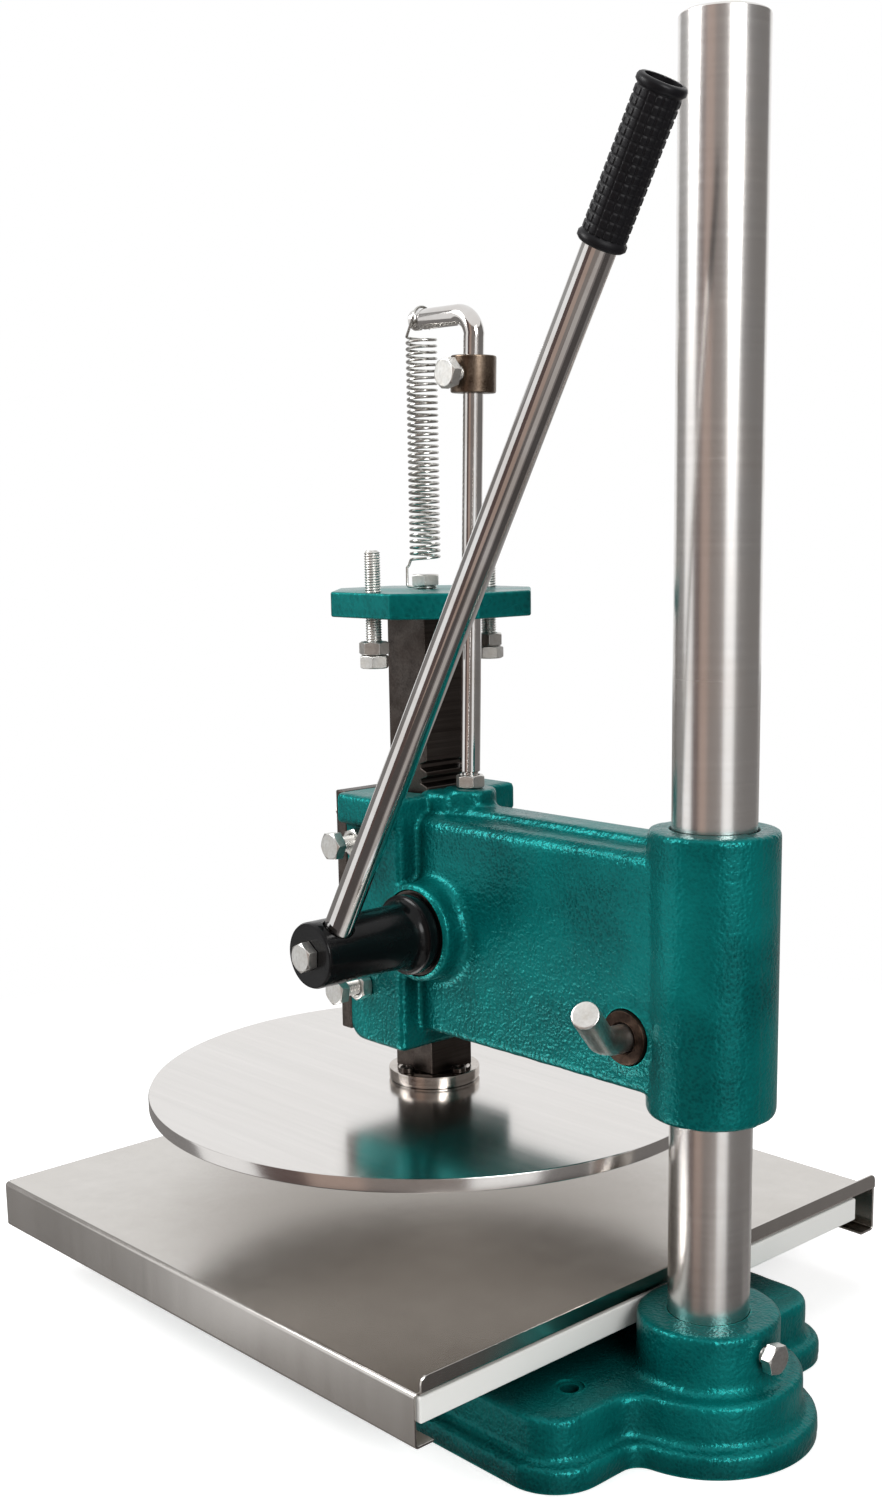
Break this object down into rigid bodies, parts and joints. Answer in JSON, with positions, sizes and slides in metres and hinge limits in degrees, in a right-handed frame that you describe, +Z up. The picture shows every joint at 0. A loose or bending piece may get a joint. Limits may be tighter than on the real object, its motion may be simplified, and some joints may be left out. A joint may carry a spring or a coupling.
{
  "type": "dough press",
  "caption": "Manual bench press: a round plate on a rack-driven ram, lowered by a lever arm, over a folded tray; the arm clamps to a polished column on a cast base.",
  "frame": {"origin": "on the ram's axis, in the plane of the base's underside", "axes": "+Z up along the column, +Y from the ram back to the column, +X to the side the lever is on"},
  "size_m": [0.3368, 0.4402, 0.6185],
  "materials": {
    "enamel": "metallic hammer-tone green enamel on a casting",
    "stainless": "brushed",
    "polished": "mirror polished",
    "zinc": "bright zinc plate",
    "dark_steel": "machined and oiled",
    "black_gloss": "gloss black",
    "black_plastic": "matt with moulded ribs",
    "board": "matt white",
    "chrome": "bright chrome plate",
    "brown_steel": "bronzed steel",
    "spring_wire": "drawn wire"
  },
  "bodies": {
    "stand": {"base_casting": "enamel", "column_set_screw": "zinc", "work_board": "board", "board_screw_1": "zinc", "board_screw_2": "zinc", "board_screw_3": "zinc", "board_screw_4": "zinc"},
    "tray": {"tray": "stainless"},
    "column": {"column": "stainless"},
    "arm": {"arm_casting": "enamel", "front_plate": "dark_steel", "front_plate_bolt_1": "zinc", "front_plate_bolt_2": "zinc", "front_plate_bolt_3": "zinc", "front_plate_bolt_4": "zinc", "ram_gib": "brown_steel", "gib_screw_lower": "zinc", "gib_screw_upper": "zinc", "gib_nut_lower": "zinc", "gib_nut_upper": "zinc", "clamp_bush_near": "brown_steel", "clamp_bush_far": "brown_steel", "guide_rod": "chrome", "guide_rod_nut": "zinc", "return_spring": "spring_wire"},
    "clamp": {"clamp_screw": "zinc"},
    "collar": {"stop_collar": "brown_steel", "collar_screw": "zinc"},
    "ram": {"ram": "dark_steel", "ram_flange": "polished", "flange_screw_1": "dark_steel", "flange_screw_2": "dark_steel", "flange_screw_3": "dark_steel", "flange_screw_4": "dark_steel", "press_disc": "polished", "top_plate": "enamel", "top_plate_bolt": "zinc", "stop_stud_left": "zinc", "stop_stud_right": "zinc", "stop_nut_left_lower": "zinc", "stop_nut_left_upper": "zinc", "stop_nut_right_lower": "zinc", "stop_nut_right_upper": "zinc"},
    "lever": {"pinion_shaft": "dark_steel", "pinion_end_screw": "zinc", "lever_hub": "black_gloss", "hub_end_bolt": "zinc", "lever_rod": "chrome", "lever_grip": "black_plastic"}
  },
  "joints": [
    {"name": "tray_slide", "type": "slide", "parent": "stand", "child": "tray", "axis": [0, -1, 0], "range_m": [0, 0.16]},
    {"name": "column_turn", "type": "hinge", "parent": "stand", "child": "column", "pos_m": [0, 0.188, 0.03], "axis": [0, 0, 1], "range_deg": [-90, 90]},
    {"name": "arm_height", "type": "slide", "parent": "column", "child": "arm", "axis": [0, 0, 1], "range_m": [0, 0.25]},
    {"name": "clamp_turn", "type": "hinge", "parent": "arm", "child": "clamp", "pos_m": [0, 0.1598, 0.1885], "axis": [1, 0, 0], "range_deg": [0, 120]},
    {"name": "collar_slide", "type": "slide", "parent": "arm", "child": "collar", "axis": [0, 0.0314, 0.9995], "range_m": [-0.065, 0.005]},
    {"name": "ram_slide", "type": "slide", "parent": "arm", "child": "ram", "axis": [0, 0, -1], "range_m": [-0.015, 0.045], "stiffness_N_per_m": 400, "springref_m": -0.09, "deforming": ["return_spring"]},
    {"name": "lever_turn", "type": "hinge", "parent": "arm", "child": "lever", "pos_m": [0, 0.03087, 0.218], "axis": [1, 0, 0], "range_deg": [-49, 140]}
  ],
  "couplings": [
    {"joint": "lever_turn", "follows": "ram_slide", "rad_per_m": 53.333}
  ]
}
